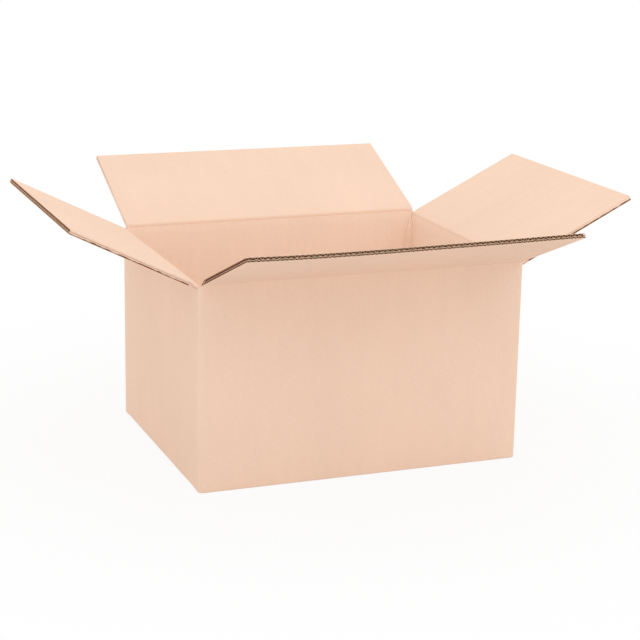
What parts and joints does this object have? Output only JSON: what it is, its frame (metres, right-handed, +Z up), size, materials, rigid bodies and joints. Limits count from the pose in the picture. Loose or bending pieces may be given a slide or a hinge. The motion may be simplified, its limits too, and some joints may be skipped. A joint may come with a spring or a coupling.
{
  "type": "open cardboard box",
  "caption": "Open corrugated cardboard box with rectangular walls, a folded and taped bottom, and hinged top flaps folded outwards.",
  "frame": {"origin": "centre of the footprint, on the underside of the bottom tape, on the surface that the box stands on", "axes": "+X along the long walls, to the right seen from the front; +Y from the front wall to the back wall; +Z up, out of the open top"},
  "size_m": [0.8576, 0.769, 0.3918],
  "materials": {
    "board": "matt kraft liner",
    "flap_board": "matt kraft liner with brown fluted edges",
    "tape": "smooth brown film"
  },
  "bodies": {
    "box": {"box_body": "board", "bottom_tape": "tape"},
    "front_flap": {"front_flap": "flap_board"},
    "back_flap": {"back_flap": "flap_board"},
    "left_flap": {"left_flap": "flap_board"},
    "right_flap": {"right_flap": "flap_board"}
  },
  "joints": [
    {"name": "front_flap_crease", "type": "hinge", "parent": "box", "child": "front_flap", "pos_m": [0, -0.2, 0.30365], "axis": [-1, 0, 0], "range_deg": [-102.5, 157.5]},
    {"name": "back_flap_crease", "type": "hinge", "parent": "box", "child": "back_flap", "pos_m": [0, 0.2, 0.30365], "axis": [1, 0, 0], "range_deg": [-102.5, 157.5]},
    {"name": "left_flap_crease", "type": "hinge", "parent": "box", "child": "left_flap", "pos_m": [-0.25, 0, 0.29655], "axis": [0, 1, 0], "range_deg": [-106.5, 153.5]},
    {"name": "right_flap_crease", "type": "hinge", "parent": "box", "child": "right_flap", "pos_m": [0.25, 0, 0.29655], "axis": [0, -1, 0], "range_deg": [-106.5, 153.5]}
  ]
}
